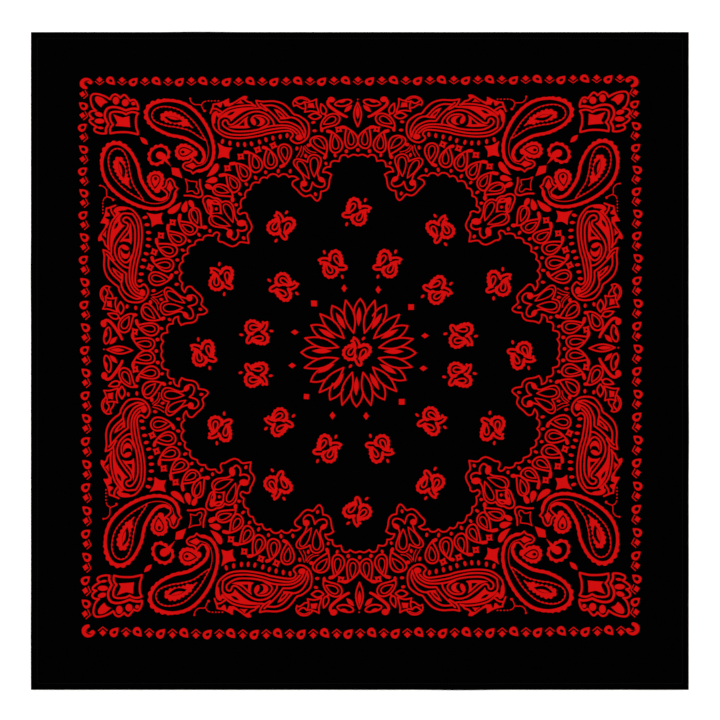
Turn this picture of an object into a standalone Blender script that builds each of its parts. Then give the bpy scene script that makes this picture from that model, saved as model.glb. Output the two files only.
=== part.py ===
"""A square cotton bandana laid flat: one cloth panel whose four edges are turned under as narrow hems.

Metres, +Z up. The origin is the middle of the underside, on the surface the cloth lies on. +Y is the
top edge of the square as it is looked at from above, with its right side up.

The panel is one wall. Its rim runs over the turned-under strips, bends round the outer fold and ends at
the surface. Each hem strip is the turned-under cloth of one edge: it lies in the channel beneath the rim
and keeps SEAM_GAP to the panel and to its neighbours.
"""

from math import cos, pi, radians, sin

import bmesh
import bpy

# Driving dimensions
SIDE = 0.559            # finished width and length of the square, 22 inches
WALL = 0.0010           # cloth thickness as a solid wall
SEAM_GAP = 0.0003       # clearance between pieces that touch in the real thing
HEM_WIDTH = 0.0070      # turned-under strip, from the outer fold to its inner edge
HEM_RAMP = 0.0040       # run over which the panel comes down off the strip
DIVISIONS = 20          # faces along each edge and across the flat

# Worked out from those
HALF = SIDE / 2
RIM_TOP = WALL + SEAM_GAP + WALL        # top of the panel where it lies on a strip
FOLD_RADIUS = RIM_TOP / 2               # outer radius of the fold
STRIP_OUTSIDE = WALL + SEAM_GAP         # inset of a strip's outer edge, clear of the rim's inner face
STRIP_CHAMFER = 0.00025                 # softened corners of a strip's section
FLAT_INSET = HEM_WIDTH + SEAM_GAP + HEM_RAMP

FOLD_STEPS = 4          # faces round the outer fold
RAMP_STEPS = 4          # faces down the ramp

# Low swells where the relaxed cloth lifts off the surface. Each is a ridge with soft ends.
# name, middle x, middle y, direction in degrees, length, width, height
SWELLS = (
    ("top_left_edge",     -0.135,  0.262,  96, 0.150, 0.088, 0.0014),
    ("top_right_corner",   0.216,  0.232,  48, 0.170, 0.080, 0.0017),
    ("right_edge",         0.258, -0.062,   8, 0.160, 0.096, 0.0012),
    ("bottom_edge",        0.088, -0.264,  84, 0.140, 0.082, 0.0015),
    ("bottom_left_corner", -0.228, -0.214, 40, 0.190, 0.092, 0.0016),
    ("left_edge",         -0.262,  0.072, 172, 0.130, 0.074, 0.0011),
    ("inner_upper",        0.070,  0.128,  18, 0.210, 0.090, 0.0008),
    ("inner_lower",       -0.098, -0.120, 155, 0.190, 0.084, 0.0007),
)

COTTON_BLACK = (0.006, 0.006, 0.007, 1.0)
COTTON_ROUGHNESS = 0.95


def clear_scene():
    """Empties the scene the script runs in."""
    for old in list(bpy.data.objects):
        bpy.data.objects.remove(old, do_unlink=True)


def cotton():
    """The dyed plain-weave cotton of every piece."""
    material = bpy.data.materials.new("cotton_black")
    material.use_nodes = True
    shader = material.node_tree.nodes["Principled BSDF"]
    shader.inputs["Base Color"].default_value = COTTON_BLACK
    shader.inputs["Roughness"].default_value = COTTON_ROUGHNESS
    shader.inputs["Metallic"].default_value = 0.0
    return material


def ridge(share):
    """A raised cosine: 1 in the middle, 0 at share -1 and 1 and beyond."""
    return 0.5 * (1 + cos(pi * share)) if abs(share) < 1 else 0.0


def lift(x, y):
    """Height of the cloth's underside above the surface: the swells added up, 0 where the cloth rests."""
    height = 0.0
    for _, middle_x, middle_y, direction, length, width, rise in SWELLS:
        turn = radians(direction)
        along = (x - middle_x) * cos(turn) + (y - middle_y) * sin(turn)
        across = (y - middle_y) * cos(turn) - (x - middle_x) * sin(turn)
        height += rise * ridge(2 * along / length) * ridge(2 * across / width)
    return height


def smooth_step(share):
    """0 to 1 with level ends."""
    return share * share * (3 - 2 * share)


def rim_section(wall_offset):
    """The rim's section from the flat outwards, as (inset from the edge, height) rows.

    wall_offset 0 gives the outer face and WALL the inner one: the same rows moved in by the wall's
    thickness, square to the surface.
    """
    rows = []
    for step in range(RAMP_STEPS):
        share = step / RAMP_STEPS
        drop = RIM_TOP - WALL
        height = WALL + drop * smooth_step(share)
        slope = drop * 6 * share * (1 - share) / HEM_RAMP
        square = (1 + slope * slope) ** 0.5
        inset = FLAT_INSET - share * HEM_RAMP
        rows.append((inset - wall_offset * slope / square, height - wall_offset / square))
    rows.append((HEM_WIDTH + SEAM_GAP, RIM_TOP - wall_offset))
    for step in range(FOLD_STEPS + 1):
        turn = 0.5 * pi * step / FOLD_STEPS
        reach = FOLD_RADIUS - wall_offset
        rows.append((FOLD_RADIUS - reach * sin(turn), FOLD_RADIUS + reach * cos(turn)))
    rows.append((wall_offset, 0.0))
    return rows


def rim_face(wall_offset):
    """One face of the panel: a flat grid whose border is extruded outwards, ring by ring, through the section."""
    section = rim_section(wall_offset)
    first_inset, first_height = section[0]
    face = bmesh.new()
    bmesh.ops.create_grid(
        face, x_segments=DIVISIONS, y_segments=DIVISIONS, size=HALF - first_inset
    )
    for vertex in face.verts:
        vertex.co.z = first_height
    inset = first_inset
    for next_inset, next_height in section[1:]:
        border = [edge for edge in face.edges if edge.is_boundary]
        grown = bmesh.ops.extrude_edge_only(face, edges=border)["geom"]
        scale = (HALF - next_inset) / (HALF - inset)
        for vertex in (item for item in grown if isinstance(item, bmesh.types.BMVert)):
            vertex.co.x *= scale
            vertex.co.y *= scale
            vertex.co.z = next_height
        inset = next_inset
    return face


def object_from(name, shape, material):
    """Turns a bmesh into a named object, with its faces pointing out and softly shaded."""
    bmesh.ops.recalc_face_normals(shape, faces=shape.faces)
    mesh = bpy.data.meshes.new(name)
    shape.to_mesh(mesh)
    shape.free()
    mesh.materials.append(material)
    mesh.shade_smooth()
    mesh.set_sharp_from_angle(angle=radians(40))
    made = bpy.data.objects.new(name, mesh)
    bpy.context.scene.collection.objects.link(made)
    return made


def raise_by_lift(shape):
    """Lifts every point with the swells beneath it."""
    for vertex in shape.verts:
        vertex.co.z += lift(vertex.co.x, vertex.co.y)


def make_panel(material):
    """The main cloth: an outer and an inner face, point for point alike, joined round the foot of the fold."""
    panel = rim_face(0.0)
    outer_count = len(panel.verts)
    inner = rim_face(WALL)
    inner_mesh = bpy.data.meshes.new("panel_inner")
    inner.to_mesh(inner_mesh)
    inner.free()
    panel.from_mesh(inner_mesh)
    bpy.data.meshes.remove(inner_mesh)
    panel.verts.index_update()
    panel.verts.ensure_lookup_table()
    foot = [edge for edge in panel.edges if edge.is_boundary and edge.verts[0].index < outer_count]
    for edge in foot:
        start, end = edge.verts
        twins = panel.verts[end.index + outer_count], panel.verts[start.index + outer_count]
        panel.faces.new((start, end, *twins))
    raise_by_lift(panel)
    return object_from("panel", panel, material)


def strip_section():
    """A hem strip's section, as (inset from the edge, height) corners going round: a flat band, corners eased."""
    outside, inside, top, ease = STRIP_OUTSIDE, HEM_WIDTH, WALL, STRIP_CHAMFER
    return (
        (outside + ease, 0.0),
        (inside - ease, 0.0),
        (inside, ease),
        (inside, top - ease),
        (inside - ease, top),
        (outside + ease, top),
        (outside, top - ease),
        (outside, ease),
    )


def make_strip(name, quarter_turns, end_inset, material):
    """The turned-under cloth of one edge: the strip's section carried along the edge.

    quarter_turns places the edge, counted anticlockwise from the top one. end_inset is how far each end
    stops short of the corner. The stations are the panel's own, so the strip rises with it.
    """
    section = strip_section()
    reach = HALF - end_inset
    step = 2 * (HALF - HEM_WIDTH / 2) / DIVISIONS
    inner = [step * (index - DIVISIONS / 2) for index in range(1, DIVISIONS)]
    stations = [-reach] + [place for place in inner if abs(place) < reach - step / 4] + [reach]
    turn = 0.5 * pi * quarter_turns
    strip = bmesh.new()
    loops = []
    for along in stations:
        loop = []
        for inset, height in section:
            out = HALF - inset
            x = along * cos(turn) - out * sin(turn)
            y = along * sin(turn) + out * cos(turn)
            loop.append(strip.verts.new((x, y, height)))
        loops.append(loop)
    count = len(section)
    for one, other in zip(loops, loops[1:]):
        for corner in range(count):
            following = (corner + 1) % count
            strip.faces.new((one[corner], one[following], other[following], other[corner]))
    strip.faces.new(loops[0])
    strip.faces.new(loops[-1])
    raise_by_lift(strip)
    return object_from(name, strip, material)


def main():
    clear_scene()
    material = cotton()
    make_panel(material)
    long_end = STRIP_OUTSIDE
    short_end = HEM_WIDTH + SEAM_GAP
    make_strip("hem_top", 0, long_end, material)
    make_strip("hem_left", 1, short_end, material)
    make_strip("hem_bottom", 2, long_end, material)
    make_strip("hem_right", 3, short_end, material)


main()
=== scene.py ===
"""A square cotton bandana laid flat, black with a red paisley print, set up as a small Blender add-on.

Metres, +Z up, in the part's own frame: the origin is the middle of the underside, +Y the top edge.
The print is drawn in millimetres on a flat plane of its own, out of strokes, drops, scallops, stars and
petals. Each motif is drawn once, then mirrored, turned and repeated, and the drawing is laid on the
cloth as a thin film of pigment.
"""

from math import pi

import bpy
import numpy as np
from bpy.props import FloatProperty, FloatVectorProperty, IntProperty, PointerProperty
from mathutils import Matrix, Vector, geometry


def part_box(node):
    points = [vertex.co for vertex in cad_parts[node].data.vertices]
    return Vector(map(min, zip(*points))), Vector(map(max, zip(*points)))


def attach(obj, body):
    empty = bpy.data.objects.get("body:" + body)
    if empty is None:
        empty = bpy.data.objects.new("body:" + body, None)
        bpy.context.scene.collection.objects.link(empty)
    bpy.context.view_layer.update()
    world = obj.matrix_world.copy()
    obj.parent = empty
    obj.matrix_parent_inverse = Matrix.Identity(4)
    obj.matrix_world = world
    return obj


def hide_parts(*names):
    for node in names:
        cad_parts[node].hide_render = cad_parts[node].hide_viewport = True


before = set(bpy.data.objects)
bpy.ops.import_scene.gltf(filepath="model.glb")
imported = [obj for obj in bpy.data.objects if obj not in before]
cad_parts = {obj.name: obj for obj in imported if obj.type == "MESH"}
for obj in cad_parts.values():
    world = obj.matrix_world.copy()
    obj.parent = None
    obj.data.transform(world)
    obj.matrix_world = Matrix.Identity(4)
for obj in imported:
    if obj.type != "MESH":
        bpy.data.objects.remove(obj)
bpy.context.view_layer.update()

bl_info = {
    "name": "Paisley Bandana",
    "version": (1, 0, 0),
    "blender": (4, 5, 0),
    "location": "View3D > Sidebar > Bandana",
    "description": "Builds a printed cotton bandana laid flat, its stitched hems and its studio",
    "category": "Object",
}

MM = 0.001

# The square and its hems, as the solids have them
PANEL_LOW, PANEL_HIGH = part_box("panel")
SIDE = PANEL_HIGH.x - PANEL_LOW.x
HALF = SIDE / 2
WALL = 1.0 * MM                 # height of the panel's top face where it lies flat
SEAM_GAP = 0.3 * MM             # room that the solids leave between two layers
HEM_WIDTH = 7.0 * MM
HEM_RAMP = 4.0 * MM             # run over which the cloth comes down off the hem
RIM_TOP = 2 * WALL + SEAM_GAP   # height of the panel's top face over a hem
RIM_INSET = HEM_WIDTH + SEAM_GAP
FOLD_RADIUS = RIM_TOP / 2

# Low swells where the relaxed cloth lifts off the surface, the same rows as in the solids.
# middle x, middle y, direction in degrees, length, width, height
SWELLS = (
    (-0.135,  0.262,  96, 0.150, 0.088, 0.0014),
    ( 0.216,  0.232,  48, 0.170, 0.080, 0.0017),
    ( 0.258, -0.062,   8, 0.160, 0.096, 0.0012),
    ( 0.088, -0.264,  84, 0.140, 0.082, 0.0015),
    (-0.228, -0.214,  40, 0.190, 0.092, 0.0016),
    (-0.262,  0.072, 172, 0.130, 0.074, 0.0011),
    ( 0.070,  0.128,  18, 0.210, 0.090, 0.0008),
    (-0.098, -0.120, 155, 0.190, 0.084, 0.0007),
)

# Slow waves, too low to cast a shadow, that keep the cloth from looking ruled.
# waves a metre along x, waves a metre along y, start in degrees, height
RIPPLES = (
    (12.0,   6.6,  20, 0.00010),
    (-7.9,  10.6, 140, 0.00009),
    (16.4,  -4.8, 260, 0.00006),
)

# The print lies a little askew, as screen prints do. Its shift in millimetres at u, v, which run from
# -1 to 1 over PRINT_REACH, is the sum of these rows: power of u, power of v, shift in x, shift in y.
PRINT_REACH = 212.5
PRINT_SKEW = (
    (0, 0, -0.4,  7.4),         # the whole print sits high
    (1, 0,  1.2,  1.6),         # wider than drawn, and turned a little
    (0, 1, -1.1,  0.9),         # leaning, and taller than drawn
    (0, 3,  0.3,  0.0),
    (1, 1,  2.9,  0.0),         # wider above the middle
    (1, 3, -0.9,  0.0),
    (2, 0,  1.4,  3.0),         # both sides higher than the middle
    (0, 2, -0.7,  0.0),         # top and bottom further left
    (2, 2,  0.0, -4.7),         # the corners don't rise with the sides
    (2, 4,  0.0,  2.0),
    (3, 0,  0.0, -0.7),
    (3, 1, -1.3,  0.0),         # the top corners drawn in
    (5, 0, -1.2,  0.0),         # both sides drawn in
    (0, 4,  0.0, -2.7),         # top and bottom drawn down, the top more
    (0, 5,  0.0, -1.5),
)

STEP = 0.6                      # distance between the drawn points of a line, in millimetres
MERGED = 0.0001                 # drawn points that are nearer than this, in millimetres, are one
OUTLINE = 49                    # points that are worked out round a drop or a leaf

# The stage
FLOOR_HALF = 6.0                # from the middle of the paper to its edges
FLOOR_DROP = 0.1 * MM           # room between the paper and the cloth
LAMP_SIDE = 2.4
LAMP_PLACE = (-0.35, 0.45, 2.3)
VIEW_SIDE = 611.95 * MM         # side of the square that the camera takes in where the cloth lies
VIEW_MIDDLE = (0.17 * MM, 0.81 * MM)    # middle of that square, x and y


def linear(hex_colour):
    """An sRGB hex colour as the linear RGBA that a socket takes, by the curve of that standard."""
    shown = np.array([int(hex_colour[at:at + 2], 16) for at in (1, 3, 5)]) / 255
    light = np.where(shown <= 0.04045, shown / 12.92, ((shown + 0.055) / 1.055) ** 2.4)
    return (*(float(value) for value in light), 1.0)


# ------------------------------------------------------------ sizes and colours that a user may change


def length_property(name, description, default, least, most):
    """A length in metres, its default and limits given in millimetres."""
    return FloatProperty(
        name=name, description=description, default=default * MM, min=least * MM, max=most * MM,
        precision=5, unit="LENGTH",
    )


def colour_property(name, description, hex_colour):
    """A colour, its default given as sRGB hex."""
    return FloatVectorProperty(
        name=name, description=description, default=linear(hex_colour), min=0, max=1, size=4,
        subtype="COLOR",
    )


class BandanaSizes(bpy.types.PropertyGroup):
    """The sizes that a user may change"""
    cloth_thickness: length_property("Cloth thickness", "Thickness of one layer of cotton", 0.35, 0.1, 0.6)
    thread_pitch: length_property("Thread pitch", "From one thread of the weave to the next", 0.42, 0.2, 2)
    stitch_pitch: length_property("Stitch pitch", "From one hem stitch to the next", 2.6, 1.5, 5)
    stitch_inset: length_property("Stitch inset", "From the edge to the stitches", 5.6, 3, 6.5)
    sewing_thread: length_property("Sewing thread", "Diameter of the sewing thread", 0.3, 0.1, 0.6)
    print_rise: length_property("Print rise", "How far the print stands above the cloth", 0.06, 0.02, 0.3)
    cloth_divisions: IntProperty(
        name="Cloth divisions", description="Faces along each side of the cloth",
        default=132, min=40, max=200,
    )


class BandanaColours(bpy.types.PropertyGroup):
    """The colours that a user may change"""
    cotton: colour_property("Cotton", "Dyed cotton of the ground", "#010101")
    pigment: colour_property("Pigment", "Red pigment of the print", "#A90A0A")
    thread: colour_property("Thread", "Sewing thread of the hems", "#080809")
    paper: colour_property("Paper", "Pale paper that the cloth lies on", "#F2F1EF")


def sizes():
    """The sizes of this scene."""
    return bpy.context.scene.bandana_sizes


def colours():
    """The colours of this scene."""
    return bpy.context.scene.bandana_colours


# ------------------------------------------------------------------------------ the surface of the cloth


def ridge(share):
    """A raised cosine: half of one plus cos(pi s) for s between -1 and 1, and 0 beyond."""
    return np.where(np.abs(share) < 1, 0.5 * (1 + np.cos(pi * share)), 0.0)


def lift(x, y):
    """Height of the resting cloth above the surface at x, y: the swells and the ripples added up.

    A swell is its height times ridge(2 along / length) times ridge(2 across / width). A ripple is half
    its height times one plus a sine, so it never goes below the surface.
    """
    height = np.zeros_like(x)
    for middle_x, middle_y, direction, length, width, rise in SWELLS:
        turn = np.radians(direction)
        along = (x - middle_x) * np.cos(turn) + (y - middle_y) * np.sin(turn)
        across = (y - middle_y) * np.cos(turn) - (x - middle_x) * np.sin(turn)
        height += rise * ridge(2 * along / length) * ridge(2 * across / width)
    for waves_x, waves_y, start, rise in RIPPLES:
        height += rise * 0.5 * (1 + np.sin(2 * pi * (x * waves_x + y * waves_y) + np.radians(start)))
    return height


def smooth_step(share):
    """3 s squared minus 2 s cubed: 0 to 1 with level ends."""
    return share * share * (3 - 2 * share)


# ------------------------------------------------------------------------------------ meshes and materials


def new_piece(name, points, face_groups, material, replaced=()):
    """A named piece from an (n, 3) array of points and arrays of faces, one for each number of corners.
    It is shaded smooth but for its sharp edges, and rides on the part's one body.
    """
    mesh = bpy.data.meshes.new(name)
    corners = np.concatenate([group.ravel() for group in face_groups])
    counts = np.concatenate([np.full(len(group), group.shape[1]) for group in face_groups])
    starts = np.concatenate([[0], np.cumsum(counts)[:-1]])
    mesh.vertices.add(len(points))
    mesh.vertices.foreach_set("co", points.astype(np.float32).ravel())
    mesh.loops.add(len(corners))
    mesh.loops.foreach_set("vertex_index", corners.astype(np.int32))
    mesh.polygons.add(len(counts))
    mesh.polygons.foreach_set("loop_start", starts.astype(np.int32))
    mesh.update(calc_edges=True)
    if mesh.validate():
        raise RuntimeError(f"{name}: the mesh had faces that can't be used")
    mesh.materials.append(material)
    mesh.shade_smooth()
    mesh.set_sharp_from_angle(angle=np.radians(70))
    layer = mesh.uv_layers.new(name="OFBake")
    plan = points[corners, :2] / SIDE + 0.5
    layer.data.foreach_set("uv", plan.astype(np.float32).ravel())
    piece = bpy.data.objects.new(name, mesh)
    bpy.context.scene.collection.objects.link(piece)
    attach(piece, "root")
    if replaced:
        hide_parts(*replaced)
    return piece


def add_node(tree, kind, settings=(), inputs=(), feeds=None):
    """Adds a node, sets its settings, sets or links its inputs, which go by name or number, and links its
    first output to the socket that it feeds.
    """
    node = tree.nodes.new(kind)
    for name, value in dict(settings).items():
        setattr(node, name, value)
    for name, value in dict(inputs).items():
        if isinstance(value, bpy.types.NodeSocket):
            tree.links.new(value, node.inputs[name])
        else:
            node.inputs[name].default_value = value
    if feeds:
        tree.links.new(node.outputs[0], feeds)
    return node


def new_material(name, colour, roughness, specular):
    """A material with a Principled shader, as (material, tree, shader, place in object coordinates)."""
    material = bpy.data.materials.new(name)
    material.use_nodes = True
    tree = material.node_tree
    shader = tree.nodes["Principled BSDF"]
    shader.inputs["Base Color"].default_value = colour
    shader.inputs["Roughness"].default_value = roughness
    shader.inputs["Specular IOR Level"].default_value = specular
    return material, tree, shader, add_node(tree, "ShaderNodeTexCoord").outputs["Object"]


def plain_weave(tree, place, pitch):
    """Height of a plain weave, 0 to 1, at a place in object coordinates.

    With a = sin(pi x / pitch) and b = sin(pi y / pitch), the warp is on top where a and b have the same
    sign, with height |a| (0.6 + 0.4 |b|), and elsewhere the weft is, with height |b| (0.6 + 0.4 |a|).
    """
    split = add_node(tree, "ShaderNodeSeparateXYZ", inputs={0: place})
    found = {"x": split.outputs["X"], "y": split.outputs["Y"]}
    for result, operation, *values in (
        ("turn a", "MULTIPLY", "x", pi / pitch),
        ("turn b", "MULTIPLY", "y", pi / pitch),
        ("a", "SINE", "turn a"),
        ("b", "SINE", "turn b"),
        ("|a|", "ABSOLUTE", "a"),
        ("|b|", "ABSOLUTE", "b"),
        ("warp's share", "MULTIPLY_ADD", "|b|", 0.4, 0.6),
        ("weft's share", "MULTIPLY_ADD", "|a|", 0.4, 0.6),
        ("warp", "MULTIPLY", "|a|", "warp's share"),
        ("weft", "MULTIPLY", "|b|", "weft's share"),
        ("a times b", "MULTIPLY", "a", "b"),
        ("warp on top", "GREATER_THAN", "a times b", 0.0),
    ):
        inputs = {number: found.get(value, value) for number, value in enumerate(values)}
        found[result] = add_node(tree, "ShaderNodeMath", {"operation": operation}, inputs).outputs[0]
    return add_node(
        tree, "ShaderNodeMix", {"data_type": "FLOAT"},
        {0: found["warp on top"], 2: found["weft"], 3: found["warp"]},
    ).outputs[0]


def slubs(tree, place, length, width):
    """Thick and thin threads, 0 to 1: the mean of a noise drawn out along x and one drawn out along y."""
    streaks = []
    for stretch in ((1 / length, 1 / width, 1), (1 / width, 1 / length, 1)):
        drawn_out = add_node(
            tree, "ShaderNodeVectorMath", {"operation": "MULTIPLY"}, {0: place, 1: stretch}
        )
        streaks.append(add_node(
            tree, "ShaderNodeTexNoise", {"noise_dimensions": "2D"},
            {"Vector": drawn_out.outputs[0], "Scale": 1.0, "Detail": 2.0, "Roughness": 0.6},
        ).outputs["Fac"])
    return add_node(
        tree, "ShaderNodeMix", {"data_type": "FLOAT"}, {0: 0.5, 2: streaks[0], 3: streaks[1]}
    ).outputs[0]


def woven_cotton(name, colour, roughness, specular, tone_range, weave_depth):
    """Plain-weave cotton: the threads as bump, about 60 to the inch as in the light cotton of such
    squares, and slubs that vary bump and tone.
    """
    material, tree, shader, place = new_material(name, colour, roughness, specular)
    uneven = slubs(tree, place, length=14 * MM, width=0.9 * MM)
    tone = add_node(tree, "ShaderNodeMapRange", inputs={
        "Value": uneven, "From Min": 0.3, "From Max": 0.7,
        "To Min": 1 - tone_range, "To Max": 1 + tone_range,
    })
    add_node(
        tree, "ShaderNodeVectorMath", {"operation": "SCALE"},
        {0: tuple(colour)[:3], "Scale": tone.outputs[0]}, feeds=shader.inputs["Base Color"],
    )
    slub_bump = add_node(
        tree, "ShaderNodeBump", inputs={"Height": uneven, "Strength": 0.5, "Distance": 0.15 * MM}
    )
    add_node(tree, "ShaderNodeBump", inputs={
        "Height": plain_weave(tree, place, sizes().thread_pitch), "Strength": 0.6,
        "Distance": weave_depth, "Normal": slub_bump.outputs[0],
    }, feeds=shader.inputs["Normal"])
    return material, shader


def dyed_cotton():
    """Cotton plain weave dyed black: matt and very dark, with the faintest bloom at a low angle."""
    material, shader = woven_cotton(
        "cotton_plain_weave_dyed_black", colours().cotton,
        roughness=0.95, specular=0.002, tone_range=0.25, weave_depth=0.10 * MM,
    )
    shader.inputs["Sheen Weight"].default_value = 0.003
    shader.inputs["Sheen Roughness"].default_value = 0.3
    return material


def red_pigment():
    """Pigment screen print on cotton: a thin red film that still shows the weave it lies on. It is dead
    matt, so that its edges don't glint at a low angle.
    """
    return woven_cotton(
        "pigment_print_red", colours().pigment,
        roughness=0.9, specular=0.0, tone_range=0.05, weave_depth=0.07 * MM,
    )[0]


def sewing_thread():
    """Spun polyester sewing thread dyed black: two plies whose twist shows as slanting ribs. The ribs are
    drawn about twice as far apart as they are, so that they show.
    """
    material, tree, shader, place = new_material(
        "polyester_sewing_thread_black", colours().thread, roughness=0.6, specular=0.1
    )
    rib_pitch = 1.508 * MM
    bands_apart = 0.2 * pi      # from one band of the wave to the next, at a scale of 1
    twist = add_node(
        tree, "ShaderNodeTexWave", {"bands_direction": "DIAGONAL"},
        {"Vector": place, "Scale": bands_apart / rib_pitch, "Distortion": 0.4},
    )
    add_node(tree, "ShaderNodeBump", inputs={
        "Height": twist.outputs["Fac"], "Strength": 0.7, "Distance": 0.06 * MM,
    }, feeds=shader.inputs["Normal"])
    return material


def pale_paper():
    """Uncoated pale paper of the studio floor: matt, with a faint tooth."""
    material, tree, shader, place = new_material(
        "paper_uncoated_pale", colours().paper, roughness=0.95, specular=0.1
    )
    tooth_pitch = 1.5 * MM
    tooth = add_node(
        tree, "ShaderNodeTexNoise", inputs={"Vector": place, "Scale": 1 / tooth_pitch, "Detail": 3.0}
    )
    add_node(tree, "ShaderNodeBump", inputs={
        "Height": tooth.outputs["Fac"], "Strength": 0.15, "Distance": 0.05 * MM,
    }, feeds=shader.inputs["Normal"])
    return material


# ---------------------------------------------------------------------------------------- stage


def make_floor():
    """A wide sheet of paper just under the cloth: a 2 by 2 grid of points, FLOOR_HALF from the middle."""
    across, up = np.meshgrid((-FLOOR_HALF, FLOOR_HALF), (-FLOOR_HALF, FLOOR_HALF))
    points = np.stack([across.ravel(), up.ravel(), np.full(4, -FLOOR_DROP)], axis=1)
    mesh = bpy.data.meshes.new("paper_floor")
    mesh.from_pydata(points.tolist(), [], [(0, 1, 3, 2)])
    mesh.materials.append(pale_paper())
    floor = bpy.data.objects.new("paper_floor", mesh)
    bpy.context.scene.collection.objects.link(floor)


def make_lights():
    """One wide soft light overhead and an even pale surround."""
    lamp = bpy.data.lights.new("overhead_softbox", "AREA")
    lamp.shape = "SQUARE"
    lamp.size = LAMP_SIDE
    lamp.energy = 46.0
    softbox = bpy.data.objects.new("overhead_softbox", lamp)
    softbox.location = LAMP_PLACE
    softbox.rotation_euler = (-softbox.location).to_track_quat("-Z", "Y").to_euler()
    bpy.context.scene.collection.objects.link(softbox)
    world = bpy.data.worlds.new("pale_surround")
    world.use_nodes = True
    surround = world.node_tree.nodes["Background"]
    surround.inputs["Color"].default_value = (1.0, 1.0, 1.0, 1.0)
    surround.inputs["Strength"].default_value = 1.05
    bpy.context.scene.world = world
    bpy.context.scene.view_settings.view_transform = "Standard"


def make_camera():
    """A long lens straight above the cloth, which takes in a square of VIEW_SIDE where the cloth lies."""
    data = bpy.data.cameras.new("camera")
    data.sensor_width = 36.0
    data.lens = 85.0
    camera = bpy.data.objects.new("camera", data)
    distance = VIEW_SIDE * data.lens / data.sensor_width
    camera.location = (*VIEW_MIDDLE, distance + WALL)
    bpy.context.scene.collection.objects.link(camera)
    bpy.context.scene.camera = camera


# ------------------------------------------------------------------------------ cloth and stitches


def square_walk(count):
    """Once round the square from -1 to 1, anticlockwise from its lower left corner, as (4 count, 2)."""
    run = np.linspace(-1, 1, count, endpoint=False)
    ones = np.ones(count)
    return np.concatenate([
        np.stack([run, -ones], 1), np.stack([ones, run], 1),
        np.stack([-run, ones], 1), np.stack([-ones, -run], 1),
    ])


def hem_path(thickness):
    """The cloth's mid-surface from the flat to the raw edge, as rows of (inset from the edge, height).

    Down the rows: up the ramp by smooth_step, along the rim, round the outer fold by a half circle of
    FOLD_RADIUS less half the thickness, a little flattened, inwards along the surface, round the second
    turn by a half circle of turn_radius, and back outwards to the raw edge.
    """
    half_cloth = thickness / 2
    stitch_room = 0.12 * MM     # beneath the hem
    turn_radius = 0.36 * MM     # second turn of the hem, to the middle of the cloth
    raw_edge = FOLD_RADIUS + 0.35 * MM
    upper = RIM_TOP - half_cloth
    under = stitch_room + half_cloth
    turn_inset = HEM_WIDTH - turn_radius
    share = np.linspace(0, 1, 9)
    ramp = (RIM_INSET + HEM_RAMP * (1 - share), WALL - half_cloth + (RIM_TOP - WALL) * smooth_step(share))
    rim = (np.linspace(RIM_INSET, FOLD_RADIUS, 5)[1:-1], np.full(3, upper))
    angle = np.linspace(pi / 2, -pi / 2, 11)
    fold = (
        FOLD_RADIUS - (FOLD_RADIUS - half_cloth) * np.cos(angle),
        (upper + under) / 2 + (upper - under) / 2 * np.sin(angle),
    )
    band = (np.linspace(FOLD_RADIUS, turn_inset, 6)[1:], np.full(5, under))
    angle = np.linspace(-pi / 2, pi / 2, 7)[1:]
    turn = (turn_inset + turn_radius * np.cos(angle), under + turn_radius * (1 + np.sin(angle)))
    back = (np.linspace(turn_inset, raw_edge, 5)[1:], np.full(4, under + 2 * turn_radius))
    return np.concatenate([np.stack(stretch, 1) for stretch in (ramp, rim, fold, band, turn, back)])


def make_cloth():
    """The cloth as one sheet: a flat square grid whose border goes on, ring by ring, through hem_path.

    Both faces are the mid-surface moved half the thickness along its normal, and every point is raised
    by lift at its place. The raw edges of the two faces are joined by a last ring of quads.
    """
    thickness = sizes().cloth_thickness
    count = sizes().cloth_divisions
    row = count + 1             # points along each side of the flat grid
    route = hem_path(thickness)
    way = np.gradient(route, axis=0)
    way /= np.linalg.norm(way, axis=1, keepdims=True)
    outwards = np.stack([way[:, 1], -way[:, 0]], 1)     # towards the printed side, then round the fold
    outwards[0] = (0.0, 1.0)
    run = np.linspace(-1, 1, row)
    grid = np.stack(np.meshgrid(run, run), axis=-1).reshape(-1, 2)
    walk = square_walk(count)
    shells = []
    for side in (1, -1):
        (inset, height), *hem = route + outwards * side * thickness / 2
        shells.append(np.column_stack([grid * (HALF - inset), np.full(len(grid), height)]))
        shells += [np.column_stack([walk * (HALF - inset), np.full(len(walk), height)])
                   for inset, height in hem]
    points = np.concatenate(shells)
    points[:, 2] += lift(points[:, 0], points[:, 1])
    lower = (np.arange(count)[:, None] * row + np.arange(count)).ravel()
    flat_faces = np.stack([lower, lower + 1, lower + row + 1, lower + row], 1)
    edge = np.arange(count)
    border = np.concatenate([edge, edge * row + count, row ** 2 - 1 - edge, (count - edge) * row])
    loops = [border] + [len(grid) + step * len(walk) + np.arange(len(walk)) for step in range(len(hem))]
    hem_faces = np.concatenate([
        np.stack([inner, outer, np.roll(outer, -1), np.roll(inner, -1)], 1)
        for inner, outer in zip(loops, loops[1:])
    ])
    top_faces = np.concatenate([flat_faces, hem_faces])
    half_way = len(points) // 2
    last = loops[-1]
    closing = np.stack([last, last + half_way, np.roll(last, -1) + half_way, np.roll(last, -1)], 1)
    faces = np.concatenate([top_faces, top_faces[:, ::-1] + half_way, closing])
    return new_piece(
        "cloth", points, [faces], dyed_cotton(),
        ("panel", "hem_top", "hem_left", "hem_bottom", "hem_right"),
    )


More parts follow.
